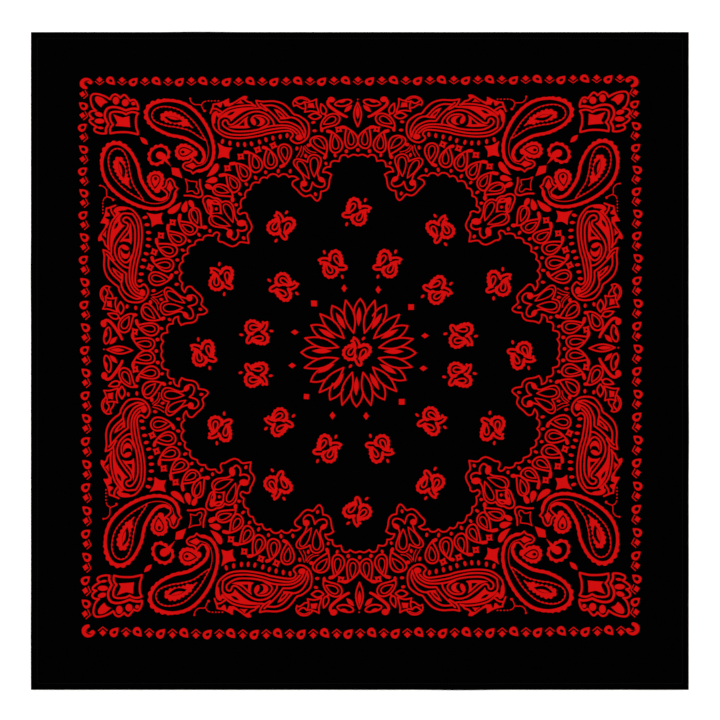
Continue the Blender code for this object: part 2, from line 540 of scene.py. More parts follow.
def make_stitches(name, height, sunk):
    """One row of lockstitches along each hem: capsules laid end to end, a grid of rings round a spine.

    At share s along a stitch the spine is s times the length, dipped into the cloth by one minus
    sin(pi s), and the thread's radius is its full one but for the rounded ends.
    """
    inset, pitch, across = sizes().stitch_inset, sizes().stitch_pitch, sizes().sewing_thread
    share = np.array([0.0, 0.08, 0.3, 0.7, 0.92, 1.0])
    radius = across / 2 * np.array([0.35, 0.85, 1.0, 1.0, 0.85, 0.35])[:, None]
    dip = 0.8 * across * (1 - np.sin(pi * share))[:, None]
    length = 0.86 * pitch       # the rest is the gap from one stitch to the next
    rings, corners = len(share), 6
    angle = np.linspace(0, 2 * pi, corners, endpoint=False)
    one = np.stack([
        np.repeat((share - 0.5) * length, corners),
        (radius * np.cos(angle)).ravel(),
        (radius * np.sin(angle) - sunk * dip).ravel(),
    ], 1)
    reach = HALF - inset
    number = round(2 * reach / pitch)
    middles = (np.arange(number) + 0.5) * 2 * reach / number - reach
    row = one + np.stack([middles, np.full(number, reach), np.zeros(number)], 1)[:, None]
    row = row.reshape(-1, 3)
    points = np.concatenate([
        np.column_stack([row[:, :2] @ turned(degrees), row[:, 2]]) for degrees in (0, 90, 180, 270)
    ])
    points[:, 2] += height + lift(points[:, 0], points[:, 1])
    corner = np.arange(corners)
    lower = np.arange(rings - 1)[:, None] * corners + corner
    following = np.arange(rings - 1)[:, None] * corners + np.roll(corner, -1)
    tube = np.stack([lower, following, following + corners, lower + corners], -1).reshape(-1, 4)
    caps = np.array([corner[::-1], corner + len(one) - corners])
    first = (np.arange(4 * number) * len(one))[:, None, None]
    return new_piece(
        name, points, [(tube + first).reshape(-1, 4), (caps + first).reshape(-1, corners)],
        sewing_thread(),
    )


# ------------------------------------------------------------------------------ drawing in millimetres
# A path is an (n, 2) array of points. A closed one ends where it begins. A drawing is a list of
# (contours, inked) pairs: what lies inside the contours of a pair is inked, or left bare where inked is
# False, and later pairs cover earlier ones.


def resampled(points):
    """The same path with points about every STEP mm, straight between its own points."""
    along = np.concatenate([[0], np.cumsum(np.linalg.norm(np.diff(points, axis=0), axis=1))])
    count = max(int(np.ceil(along[-1] / STEP)), 2)
    at = np.linspace(0, along[-1], count + 1)
    return np.column_stack([np.interp(at, along, points[:, axis]) for axis in (0, 1)])


def smooth_run(points, closed=False):
    """A centripetal Catmull-Rom curve through the points: on each span a cubic whose end slopes come
    from the neighbouring points, weighed by the square root of their distance.
    """
    points = np.asarray(points, float)
    if len(points) == 2:
        return resampled(points)
    if closed:
        around = np.concatenate([points[-1:], points, points[:2]])
    else:
        around = np.concatenate([2 * points[:1] - points[1:2], points, 2 * points[-1:] - points[-2:-1]])
    before, start, end, after = around[:-3], around[1:-2], around[2:-1], around[3:]
    knots = np.sqrt(np.linalg.norm(np.diff(around, axis=0), axis=1))[:, None]
    past, now, coming = knots[:-2], knots[1:-1], knots[2:]
    leave = end - start + now * ((start - before) / past - (end - before) / (past + now))
    reach = end - start + now * ((after - end) / coming - (after - start) / (now + coming))
    steps = 12
    share = np.linspace(0, 1, steps, endpoint=False)[:, None, None]
    spans = (
        start + share * leave + share ** 2 * (3 * (end - start) - 2 * leave - reach)
        + share ** 3 * (2 * (start - end) + leave + reach)
    )
    dense = spans.transpose(1, 0, 2).reshape(-1, 2)
    return resampled(np.concatenate([dense, dense[:1] if closed else points[-1:]]))


def path(*runs):
    """A path that is smooth within each run of points and has a corner between two runs, each of which
    begins where the one before it ends.
    """
    joined = [runs[0]] + [[last[-1], *run] for last, run in zip(runs, runs[1:])]
    pieces = [smooth_run(run) for run in joined if len(run) > 1]
    return np.concatenate([piece[bool(number):] for number, piece in enumerate(pieces)])


def pinched(corners, pull=0.0):
    """A closed path with a corner at each point, whose sides bow pull mm towards its middle."""
    corners = np.asarray(corners, float)
    following = np.roll(corners, -1, axis=0)
    halfway = (corners + following) / 2
    inwards = corners.mean(axis=0) - halfway
    halfway += pull * inwards / np.linalg.norm(inwards, axis=1, keepdims=True)
    sides = np.stack([halfway, following], 1).tolist()
    return path(corners[:1].tolist(), *sides)


def teardrop(tip, end, width, bow=0.0):
    """A drop from its tip, round its far end and back: at turn a, (1 - cos a) / 2 of the way along and
    width / 2 times sin a sin(a / 2) / 0.77 to the side, with the middle bowed sideways by bow mm. The
    product of the two sines reaches 0.77.
    """
    turn = np.linspace(0, 2 * pi, OUTLINE)
    aside = width / 2 * np.sin(turn) * np.sin(turn / 2) / 0.77
    return along_axis(tip, end, (1 - np.cos(turn)) / 2, aside, bow)


def leaf(start, end, width, bow=0.0):
    """A leaf with two points: width / 2 times sin(pi s) to each side at s of the way along."""
    round_it = np.linspace(-1, 1, OUTLINE)
    share = 1 - np.abs(round_it)
    return along_axis(start, end, share, -np.sign(round_it) * width / 2 * np.sin(pi * share), bow)


def along_axis(start, end, share, aside, bow):
    """Points at shares of the way from start to end, moved aside to its left, and by a bow of
    4 s (1 - s) times bow mm.
    """
    start, end = np.asarray(start, float), np.asarray(end, float)
    axis = end - start
    left = np.array([-axis[1], axis[0]]) / np.linalg.norm(axis)
    aside = aside + bow * 4 * share * (1 - share)
    return resampled(start + share[:, None] * axis + aside[:, None] * left)


def oval(x, y, across, tall, turn=0.0):
    """An ellipse of a full width and height in mm, turned anticlockwise by degrees."""
    count = max(10, int(pi * (across + tall) / 2 / STEP))
    angle = np.linspace(0, 2 * pi, count + 1)
    ring = np.stack([across / 2 * np.cos(angle), tall / 2 * np.sin(angle)], 1)
    return ring @ turned(turn) + (x, y)


def turned(degrees):
    """The 2 by 2 matrix that turns rows of points anticlockwise when they are multiplied by it."""
    cosine, sine = np.cos(np.radians(degrees)), np.sin(np.radians(degrees))
    return np.array([[cosine, sine], [-sine, cosine]])


def pen(line, width, start=1.0, end=1.0, left=0.0, right=0.0, pitch=3.0):
    """A drawn line of ink. Each stretch between corners is one contour: the line moved to both sides by
    half its width, with round ends. The width starts at start times the full one and ends at end times
    it, each over a quarter of the way. Beads, arcs of |sin| one pitch long, stand out to left and right.
    """
    straightest = 0.6           # cosine of a bend: below it, the line has a corner
    steps = np.diff(line, axis=0)
    steps /= np.maximum(np.linalg.norm(steps, axis=1, keepdims=True), 1e-9)
    bends = np.nonzero((steps[1:] * steps[:-1]).sum(1) < straightest)[0] + 1
    cuts = [0, *bends, len(line) - 1]
    share = np.linspace(0, 1, len(line))
    half = width / 2 * np.interp(share, (0, 0.25, 0.75, 1), (start, 1, 1, end))
    beads = np.abs(np.sin(pi * share * round(len(line) * STEP / pitch)))
    drawing = []
    for first, last in zip(cuts, cuts[1:]):
        piece, size, bead = (values[first:last + 1] for values in (line, half, beads))
        if len(piece) < 2:
            continue
        way = np.gradient(piece, axis=0)
        way /= np.maximum(np.linalg.norm(way, axis=1, keepdims=True), 1e-9)
        across = np.column_stack([-way[:, 1], way[:, 0]])
        swing = np.radians((60, 30, 0, -30, -60))[:, None]
        ends = [
            piece[at] + size[at] * sign * (way[at] * np.cos(swing) + across[at] * np.sin(swing))
            for at, sign in ((-1, 1), (0, -1))
        ]
        drawing.append(([np.concatenate([
            piece + across * (size + left * bead)[:, None], ends[0],
            (piece - across * (size + right * bead)[:, None])[::-1], ends[1],
        ])], True))
    return drawing


def strokes(width, *lines):
    """Pen lines of one width, each given as its runs of points."""
    return [stroke for runs in lines for stroke in pen(path(*runs), width)]


def ink(*closed_paths):
    """The insides of closed paths, inked."""
    return [([closed_path[:-1]], True) for closed_path in closed_paths]


def bare(*closed_paths):
    """The insides of closed paths, left bare."""
    return [([closed_path[:-1]], False) for closed_path in closed_paths]


def moved(drawing, to=(0, 0), turn=0.0, size=1.0, mirrored=False):
    """A drawing mirrored left to right, turned anticlockwise by degrees, sized and moved in that order."""
    matrix = np.diag((-1.0 if mirrored else 1.0, 1.0)) @ turned(turn) * size
    return [([contour @ matrix + to for contour in contours], inked) for contours, inked in drawing]


def spread(drawing, copies):
    """A drawing repeated once for each 2 by 2 matrix."""
    return [
        ([contour @ copy.T for contour in contours], inked)
        for copy in copies for contours, inked in drawing
    ]


def winding(contours, spots):
    """How often the contours go round each spot: the edges that pass upwards to the right of it, less
    those that pass downwards.
    """
    turns = np.zeros(len(spots), int)
    everything = np.concatenate(contours)
    near = np.nonzero(np.all((spots > everything.min(0)) & (spots < everything.max(0)), axis=1))[0]
    x, y = spots[near, 0][:, None], spots[near, 1][:, None]
    for contour in contours:
        start, end = contour, np.roll(contour, -1, axis=0)
        side = (end[:, 0] - start[:, 0]) * (y - start[:, 1]) - (x - start[:, 0]) * (end[:, 1] - start[:, 1])
        up = (start[:, 1] <= y) & (end[:, 1] > y) & (side > 0)
        down = (start[:, 1] > y) & (end[:, 1] <= y) & (side < 0)
        turns[near] += up.sum(1) - down.sum(1)
    return turns


def inked_triangles(drawing):
    """The inked area of a drawing as (points, triangles): a constrained Delaunay triangulation of all
    its contours, of which the triangles stay whose middles are inked.
    """
    contours = [contour for group, _ in drawing for contour in group]
    points = np.concatenate(contours)
    lengths = np.array([len(contour) for contour in contours])
    following = np.arange(1, len(points) + 1)
    following[np.cumsum(lengths) - 1] -= lengths
    edges = np.stack([np.arange(len(points)), following], 1)
    made = geometry.delaunay_2d_cdt(
        [Vector(point) for point in points.tolist()], edges.tolist(), [], 0, MERGED, False
    )
    points = np.array([tuple(point) for point in made[0]])
    triangles = np.array(made[2])
    middles = points[triangles].mean(axis=1)
    inked = np.zeros(len(triangles), bool)
    for group, is_inked in drawing:
        inked[winding(group, middles) != 0] = is_inked
    triangles = triangles[inked]
    corners = points[triangles]
    first, second = corners[:, 1] - corners[:, 0], corners[:, 2] - corners[:, 0]
    clockwise = first[:, 0] * second[:, 1] < first[:, 1] * second[:, 0]
    triangles[clockwise] = triangles[clockwise][:, ::-1]
    used, renumbered = np.unique(triangles, return_inverse=True)
    return points[used], renumbered.reshape(-1, 3)


def skewed(flat):
    """Print millimetres to metres on the cloth, with the shifts of PRINT_SKEW."""
    u, v = (flat / PRINT_REACH).T[:, :, None]
    shift = sum(u ** power_u * v ** power_v * np.array(xy) for power_u, power_v, *xy in PRINT_SKEW)
    return (flat + shift) * MM


def make_print(name, drawing):
    """A film of pigment on the cloth: the drawing's inked area laid on the cloth's face, closed with an
    underside that lies just below that face, and walls.
    """
    flat, top = inked_triangles(drawing)
    total = len(flat)
    plan = skewed(flat)
    surface = WALL + lift(plan[:, 0], plan[:, 1])
    rise = sizes().print_rise
    points = np.concatenate([
        np.column_stack([plan, surface + rise]), np.column_stack([plan, surface - rise / 2])
    ])
    edges = np.concatenate([top[:, (0, 1)], top[:, (1, 2)], top[:, (2, 0)]])
    rim = edges[~np.isin(edges[:, 0] * total + edges[:, 1], edges[:, 1] * total + edges[:, 0])]
    walls = np.stack([rim[:, 1], rim[:, 0], rim[:, 0] + total, rim[:, 1] + total], 1)
    return new_piece(name, points, [top, top[:, ::-1] + total, walls], red_pigment())


# ------------------------------------------------------------------------------- motifs of the print
# Each is drawn in the print's own flat frame, in millimetres from its middle, in the upper left eighth,
# which lies between the top and the diagonal, or quarter. IN_EIGHTHS and IN_QUARTERS mirror it to the
# others.

IN_QUARTERS = [np.diag((x, y)).astype(float) for x in (1, -1) for y in (1, -1)]
SWAP = np.array(((0.0, -1.0), (-1.0, 0.0)))
IN_EIGHTHS = IN_QUARTERS + [mirror @ SWAP for mirror in IN_QUARTERS]
ON_AXES = [turned(degrees).T for degrees in (0, 90, 180, 270)]
UPSIDE_DOWN = np.diag((1.0, -1.0))


def border_rows():
    """The border: diamonds over chevrons, with a pierced drop between two, and a curl at each corner.

    The rows are even but for their ends, which bend by the fourth power of x, as the right column does by
    that of y. The columns have a wider pitch at the top than below.
    """
    sprig = ink(pinched([(0, 4.95), (2.9, 2.1), (0, -0.75), (-2.9, 2.1)], 0.1))
    sprig += pen(path([(-3.8, 0.2), (0, -2.8)], [(3.8, 0.2)]), 0.8)
    drop = ink(teardrop((3.5, 3.9), (-3.0, -3.0), 7.0)) + bare(oval(0, 0, 3.6, 2.6, 30))
    ring = drop + bare(oval(0.1, 0.1, 4.2, 3.4, 40))
    curl = pen(path(
        [(3.5, 1.2), (1.6, 2.8), (-1, 3.1), (-3.2, 1.4), (-3.5, -1), (-2.3, -2.8), (-0.3, -3.8)],
    ), 3.8, 1.0, 0.7)
    curl += bare(leaf((-2.8, 0.1), (3.6, 2.4), 1.1, 0.9))
    drawing = []
    for x, y in ((-232.4, 234.4), (231.6, 234.0), (-232.6, -233.6), (231.6, -233.6)):
        drawing += moved(spread(curl, [np.diag((-np.sign(x), np.sign(y)))]), (x, y), size=1.07)
    row_count, row_pitch = 45, 10.035
    column_count = 47
    end = 221                   # from the middle of a side to its last motif
    for number in range(row_count):
        x = row_pitch * (number - row_count // 2) + 0.4
        bend = (x / end) ** 4
        upward = number % 4 == 3
        if number % 2:
            one = moved(drop, (x, 235.4 if upward else 236.4), 0 if upward else 180, mirrored=not upward)
        else:
            one = moved(sprig, (x, 235.2))
        drawing += moved(one, (0, 0.4 + 0.5 * bend))
        drawing += moved(spread(one, [UPSIDE_DOWN]), (0.4, (2.6 if x < 0 else 1.1) * bend - 0.4))
    for number in range(column_count):
        y = np.interp(number / 2, (0, 3, 11, 23), (223.6, 163.9, 9.0, -220.0))
        outward = number % 4 == 1
        if number % 2:
            place = (-234.6 if outward else -235.4, y - 0.7)
            one = moved(ring, place, 8 if outward else -8, 0.98, outward)
        else:
            one = moved(sprig, (-233.4, y + 0.2), 80)
        drawing += moved(one, (-0.4, 0.1))
        drawing += moved(one, (0.4 - 1.3 * (y / end) ** 4, -0.2), mirrored=True)
    return drawing


def corner_blocks():
    """A pinched square with a star in it in each corner, a big drop and petals round its outer sides. The
    two lower ones are a little flatter.
    """
    block = pen(path(
        [(-211, 219.5)], [(-215.5, 222.3), (-221.5, 224.3), (-226.4, 224.2), (-228.2, 221.5),
         (-227.9, 216), (-226.2, 211.5), (-223.5, 208.7)], [(-227.4, 208.4), (-229.6, 206.3),
         (-228.6, 203.5), (-226, 201.4)], [(-228.8, 200.6), (-229.4, 199.2), (-227.4, 196.8),
         (-222.8, 193.8)], [(-225, 192.4), (-225, 190.4), (-221, 188.3), (-217, 187.8), (-214.7, 188)],
    ), 1.65)
    block += pen(path(
        [(-211, 219.5)], [(-209, 223), (-206, 224.2), (-201.5, 221)], [(-200, 222.8), (-198.2, 223.7),
         (-193.2, 218)], [(-191.5, 219), (-189.5, 219), (-187.3, 216), (-186.3, 212.4), (-186.3, 210.6)],
    ), 1.65)
    block += pen(path(
        [(-214.7, 188.2), (-214.7, 192), (-212.6, 196.3)], [(-215.6, 203), (-215.1, 208), (-213, 211),
         (-209.5, 212.2), (-204, 211.8), (-197, 209.2)], [(-193, 210.5), (-189, 210.9), (-186.5, 210.3)],
    ), 2.0)
    block += pen(path(
        [(-210.8, 188), (-211, 191.5), (-209.8, 194.5), (-208.3, 196)], [(-210.2, 199), (-211.2, 203),
         (-210.8, 206.3), (-208.5, 207.7), (-200.5, 207.3), (-197, 205.5)], [(-194.5, 207),
         (-191.5, 207.7), (-188.5, 207.3), (-186.4, 206.5)], [(-188, 203), (-188, 194), (-186.8, 190),
         (-186.6, 187.3)], [(-195, 189.1), (-205, 189), (-210.8, 188)],
    ), 1.7)
    block += ink(
        path(
            [(-213, 216.7)], [(-216.5, 215.2), (-219, 212)], [(-222.5, 215.6), (-224.4, 219.3),
             (-223.6, 222), (-219, 221.4), (-213, 216.7)],
        ),
        pinched([(-208.2, 205.6), (-200.0, 202.5), (-193.9, 204.0), (-193.3, 193.8), (-206.5, 194.8),
                 (-204.6, 197.8)], 0.2),
        oval(-205.8, 218.3, 5.6, 7.2), oval(-197.5, 216.4, 6.0, 6.6), oval(-190.4, 215.6, 3.6, 3.4),
        oval(-221.0, 205.4, 7.4, 4.2, -18), oval(-220.4, 199.2, 8.8, 4.6),
        oval(-219.6, 193.0, 5.2, 2.3, -8),
        leaf((-184.6, 184.8), (-178.0, 178.0), 4.0),
    )
    foot = 184                  # from the middle of the print to the inner side of a block
    drawing = []
    for x, y in ((1, 1), (-1, 1), (1, -0.93), (-1, -0.97)):
        drawing += moved(spread(moved(block, (0, -foot)), [np.diag((x, y))]), (0, foot * np.sign(y)))
    return drawing


def paisleys():
    """The big curled drops, beaded outside, round a serrated seed, with their hooked, leafy tails."""
    body = pen(path(
        [(-131.5, 162.6), (-129.6, 166), (-130, 170.6), (-133, 175.6), (-145, 183.6), (-152, 185.6),
         (-159, 187), (-171, 193), (-176, 198), (-178.8, 204), (-178.2, 210), (-174.5, 214.4),
         (-169, 217), (-161, 218.5), (-152, 217.4), (-145, 214.6), (-138, 209.2), (-131, 200.6),
         (-126, 191.4), (-122.8, 182), (-121.6, 173.6), (-122.8, 165), (-126, 159.2), (-130.5, 156),
         (-135.5, 154.8)],
    ), 2.4, left=0.45, pitch=5.2)
    body += pen(path(
        [(-171, 193.2), (-176, 198.2), (-178.8, 204), (-178.2, 210), (-174.5, 214.6), (-169, 217.2),
         (-161, 218.5)],
    ), 2.2, 0.5, 0.5, left=1.6, pitch=5.4)
    body += pen(path([(-127.6, 181.6), (-126.2, 175), (-126.8, 167), (-130, 161.4), (-136.5, 158.8)]), 0.7)
    body += pen(path(
        [(-127.6, 181.6), (-136, 196), (-142.5, 203.6), (-151, 210.2), (-162, 213), (-168.5, 212.2),
         (-172.8, 209.4), (-174.5, 205.5), (-174, 202), (-171, 198.6), (-160.5, 194.7), (-155, 194),
         (-144, 191.4), (-140, 189.4), (-131, 183.2), (-127.6, 181.6)],
    ), 0.45, left=0.75, right=0.15, pitch=3.7)
    seed = smooth_run(
        [(-166, 203.2), (-162.5, 206.6), (-157, 206.6), (-143.4, 197.4), (-145, 195.8), (-150, 197.4),
         (-162, 200)], closed=True,
    )
    body += ink(seed) + pen(seed, 1.0, left=1.4, pitch=3.8)
    body += pen(path([(-144, 197.5), (-139.4, 193.4)]), 1.4, 1.0, 0.6)
    body += bare(leaf((-163.8, 203.4), (-147.6, 199.2), 5.6, -0.5))
    body += ink(leaf((-161.5, 203.5), (-150.5, 200.8), 2.4))
    body += pen(path(
        [(-130.4, 156), (-134.5, 155.6), (-137.4, 154.2), (-139.4, 152.5)], [(-141.5, 154.8),
         (-145.4, 156), (-148, 159), (-146.2, 161.8), (-142.6, 162.6), (-140.8, 163.8), (-139.3, 166.4)],
        [(-137.4, 163.8), (-134.6, 161.6), (-131.6, 162.4)],
    ), 1.4)
    body += ink(pinched([(-146.2, 159.4), (-139.4, 162.2), (-136.2, 159.2), (-139.6, 156.4)]))
    body += pinned_drop()
    return spread(body, IN_EIGHTHS)


def pinned_drop():
    """The beaded drop that each big paisley curls round."""
    rim = teardrop((-135.8, 170.0), (-153.6, 171.7), 12.8, -0.6)
    drop = ink(rim) + pen(rim, 0.8, left=0.9, pitch=3.6)
    drop += bare(teardrop((-138.8, 172.4), (-151.8, 171.3), 8.8))
    drop += ink(teardrop((-140.6, 172.3), (-150.7, 171.4), 6.4))
    return drop + bare(oval(-148.0, 171.6, 3.4, 2.6))


def horseshoes():
    """A beaded horseshoe in each corner, round a bud on a stem, with a leaf of the diagonal beyond it."""
    shoe = pen(path(
        [(-162.2, 165.6), (-160.3, 169.6), (-161.8, 174), (-166, 176.6), (-171.2, 175.6), (-175.2, 172),
         (-176.6, 167.4), (-175.6, 163.2), (-172, 161), (-168, 162), (-164.6, 164)],
    ), 1.6, right=1.3, pitch=4.4)
    shoe += ink(
        oval(-167.4, 168.4, 7.4, 6.6, -30), oval(-164.6, 167.2, 4.6, 6.0),
        pinched([(-167.4, 165.6), (-163.0, 169.0), (-157.9, 158.6)], 0.5),
        pinched([(-157.8, 157.8), (-151.6, 157.0), (-148.4, 148.4), (-157.0, 151.6)], -0.1),
    )
    return spread(shoe, IN_QUARTERS)


def feather_lines():
    """The lines of one feathered paisley."""
    return strokes(
        1.45,
        # the outline from the crest over the wing and back beneath it, and the wing's upper lines
        ([(-85.2, 218.2)], [(-80, 217.3), (-70, 217.5), (-62.5, 215), (-56.5, 209.2), (-54.7, 206.5),
          (-53, 205)], [(-50, 204.2), (-43, 199), (-41.3, 195.5), (-41, 188), (-42.5, 184),
          (-45.5, 181), (-49, 179.4), (-52.5, 179.5), (-56.5, 183), (-54.5, 186.2), (-54.7, 188),
          (-56.3, 189.7), (-59, 190.4), (-76, 188), (-82, 186.2), (-100, 183.9), (-112, 185.7),
          (-119.8, 191.5), (-121.6, 195), (-122.4, 203), (-121.3, 206.3), (-119.5, 207.8)]),
        ([(-81.4, 215.2), (-70, 204.3), (-65.4, 198.3)],
         [(-58, 198.1), (-50, 194.2), (-47, 190.5), (-44.8, 184.3)]),
        ([(-79.5, 213.4), (-72, 213.7), (-68, 212.5), (-64, 209.8), (-58.5, 203.7), (-57.2, 202.6)],
         [(-54, 202.2), (-50.5, 200.5), (-47.5, 197.5), (-44, 190), (-44.8, 184.2)]),
        ([(-85.2, 218.2), (-84.3, 215.3), (-82.3, 212.5), (-76.4, 208.8)],),
        ([(-64.6, 201.5), (-61, 201.7), (-57.2, 202.4)],),
        # beneath the eye, round it and along the wing, then above it and inside it
        ([(-116.8, 192.2), (-115, 190.7), (-111, 188.5), (-106, 187.2), (-94, 187), (-82, 189.3),
          (-76, 191), (-64, 192.9), (-59, 192.8), (-55, 191.3), (-51, 187.6)],),
        ([(-47.8, 186), (-49.5, 189.5), (-52.5, 192.4), (-56.5, 194.5), (-61, 195.3), (-71, 195),
          (-76, 194), (-84, 191.5), (-94, 190.1), (-106, 190.7), (-113.2, 195.3), (-113.8, 197.8),
          (-112.8, 199.7), (-111, 200.3), (-109.6, 199), (-109, 197), (-107.5, 196), (-105.3, 196.4),
          (-99.5, 201), (-90, 207.1), (-83, 207.9), (-76, 205), (-71, 199), (-70.3, 195.8)],),
        ([(-116.8, 192.2), (-117.2, 199.5), (-115.5, 203), (-109, 207.7), (-100, 210.5), (-90, 211.2),
          (-85, 211), (-81, 211.4)],),
        ([(-117.3, 203.6), (-115.3, 205.8), (-109.5, 210.4), (-100, 213.1), (-90, 213.8),
          (-85.6, 212.9)],),
        ([(-88.6, 202.6), (-86.6, 204), (-80, 203.9), (-76.5, 201.8), (-74.8, 199), (-75.5, 196.5),
          (-81.5, 192.6)],),
        # the jagged crest
        ([(-124, 206.8), (-121.7, 213), (-121.4, 214.8)], [(-117, 215.5), (-113, 217), (-108.8, 219.4)]),
        ([(-122.2, 210.9), (-119, 210.6), (-114, 207.4)],),
        ([(-107.4, 214.8), (-104, 216.2), (-95.3, 221.8), (-93.3, 221.7)], [(-94.6, 218.9)],
         [(-92.5, 217.2), (-89.5, 216.2), (-88.3, 214.8), (-86, 213.2)]),
    )


def feather_solids():
    """The solid parts of one feathered paisley: the lids and the pupil of its eye, the points of its
    crest, the blob of its wing and the wing's tip.
    """
    drawing = ink(
        path(
            [(-106.6, 198.8)], [(-104.5, 201.2), (-97, 207.2), (-92.5, 209.3), (-87, 210.4), (-90, 211.4),
             (-104, 209.9), (-113, 205.5), (-116.3, 200.8), (-113.5, 202.6), (-110.5, 202.8),
             (-107.8, 201.3), (-106.6, 198.8)],
        ),
        path(
            [(-109.4, 194)], [(-101.5, 196.3), (-95, 201.8), (-92, 203.8)], [(-93, 200.5), (-92.2, 195.4),
             (-90.3, 193.5)], [(-95, 192.8), (-105, 193.1), (-109.4, 194)],
        ),
        path(
            [(-86.2, 202.9)], [(-82.5, 202.8), (-79.2, 201.4), (-77.9, 199), (-79, 196.5), (-82, 194.9),
             (-85.2, 195)], [(-82.8, 196.2), (-82, 198.2), (-82.8, 200.6), (-86.2, 202.9)],
        ),
        path(
            [(-120, 199)], [(-119.6, 202.5), (-118.8, 204.9)], [(-117.3, 202.6)], [(-115.3, 205),
             (-115.8, 207), (-117.2, 206.6), (-118.8, 208.5), (-121, 207.6), (-122.8, 204.5),
             (-122.6, 197)], [(-121, 196.8), (-120, 199)],
        ),
        pinched([(-113.6, 216.6), (-108.6, 220.4), (-107.8, 215.8), (-104.0, 214.9), (-107.6, 212.9),
                 (-111.5, 212.8)], 0.2),
        pinched([(-119.0, 214.8), (-113.8, 216.0), (-114.8, 212.0), (-116.2, 212.0)]),
        pinched([(-102.6, 215.2), (-98.2, 218.9), (-95.6, 215.5)], 0.3),
        pinched([(-98.6, 219.6), (-95.8, 222.4), (-92.9, 222.2), (-94.6, 218.6)]),
        oval(-87.8, 199.0, 3.9, 7.4, 24), oval(-49.2, 184.3, 6.2, 5.0, -5),
    )
    drawing += bare(
        leaf((-110.0, 204.4), (-103.0, 208.2), 2.4),
        pinched([(-100.4, 195.0), (-95.2, 199.8), (-95.2, 195.0)]),
    )
    tip = path(
        [(-70.3, 210.3)], [(-67, 209.4), (-61.4, 204.2), (-60, 201.6)], [(-62.4, 201.1), (-64.9, 202.2),
         (-70.3, 210.3)],
    )
    return drawing + ink(tip) + bare(leaf((-67.4, 207.4), (-62.4, 202.6), 1.5))


def feathers():
    """The long feathered paisleys between corner and side: a spiral eye, a wing of parallel lines that
    curl to a blob, a jagged crest and a row of ticks beneath.
    """
    drawing = feather_lines() + feather_solids()
    for x, y, turn in (
        (-114, 181.1, -15), (-107.7, 179.5, 0), (-101, 178.3, 5), (-95.2, 178.2, 5), (-89.5, 178.9, 15),
        (-82.7, 180.5, 15), (-77.2, 182.5, 15), (-71.3, 183.9, 5), (-65.2, 185.1, 0), (-59.4, 186.2, -5),
    ):
        drawing += ink(oval(x, y, 2.6, 4.4, turn))
    return spread(drawing, IN_EIGHTHS)


LOBE_DROPS = (
    # blob x, y, tip x, y, end x, y, width, bow, then tip x, y, end x, y and width of the drop inside
    (-13.0, 193.4,  -9.5, 192.9,  -5.2, 174.4, 11.0,  1.5,  -6.2, 190.0,  -5.6, 177.4, 5.0),
    (-25.2, 189.8, -21.4, 188.9, -18.2, 170.6, 10.6,  1.2, -19.5, 186.0, -18.4, 173.8, 5.4),
    (-28.0, 166.2, -26.8, 168.6, -38.2, 183.8, 12.0, -2.0, -27.6, 174.0, -36.4, 183.2, 5.4),
    (-64.8, 158.7, -61.4, 160.2, -62.2, 178.4, 11.2, -0.5, -60.5, 164.6, -62.4, 176.0, 5.4),
    (-79.4, 175.6, -76.0, 174.7, -72.8, 157.1, 10.9,  0.5, -73.5, 172.0, -73.1, 160.0, 5.2),
    (-95.0, 171.4, -91.2, 171.2, -84.6, 154.0, 10.9,  1.3, -87.9, 168.6, -85.0, 157.4, 5.4),
    (-107.2, 161.2, -102.8, 161.7, -93.9, 146.7, 10.6,  1.9,  -99.6, 159.6, -94.2, 150.0, 5.0),
    (-116.2, 151.0, -111.2, 152.0, -103.0, 136.8, 10.4,  1.6, -108.2, 149.4, -102.8, 140.2, 5.0),
)


def scallops():
    """The scalloped line from the middle of a side to the diagonal."""
    return strokes(1.3, (
        [(0, 167.9)], [(-4, 168.8), (-8.3, 166.7)], [(-10, 168.3), (-12.8, 168.4), (-14.6, 167.2),
         (-15.9, 163)], [(-20.5, 163.4), (-22.7, 161.8), (-23.4, 158.2)], [(-26, 158.1), (-28.4, 156.6),
         (-29.6, 153.6)], [(-26, 153.4), (-22.3, 151.3)], [(-23.7, 148), (-25.1, 140.5), (-27.6, 137.8),
         (-31.3, 136.9)], [(-32.3, 131), (-34.4, 128.8), (-36.5, 130), (-38.5, 132.5), (-40.2, 133.9)],
        [(-44.5, 132.8), (-47.5, 134.2), (-51.5, 138.5), (-55.3, 142.8), (-54.6, 145.6), (-50.2, 147.8)],
        [(-53, 149.8), (-56, 150.2), (-58.1, 149.5)], [(-60.5, 151.8), (-64, 151.9), (-66.8, 149.9)],
        [(-69.5, 151.9), (-73, 152), (-75.2, 150.6), (-76.6, 148.7)], [(-79.2, 149.4), (-81.6, 148.3),
         (-83.5, 144.6)], [(-86.6, 145), (-89.1, 143.7), (-91.2, 138.6)], [(-93.6, 138), (-95.2, 135.5),
         (-95.3, 131.8)], [(-98, 130.5), (-99.2, 127.5), (-98.8, 123.2)], [(-101, 121.6), (-101.8, 119.2),
         (-100, 117.4), (-97.8, 118.3), (-95.4, 118.6), (-93.8, 117.4), (-93.5, 115), (-91.2, 110.6),
         (-89.9, 106.6), (-91, 103.2), (-93.4, 100.4), (-92.7, 92.7)],
    ))


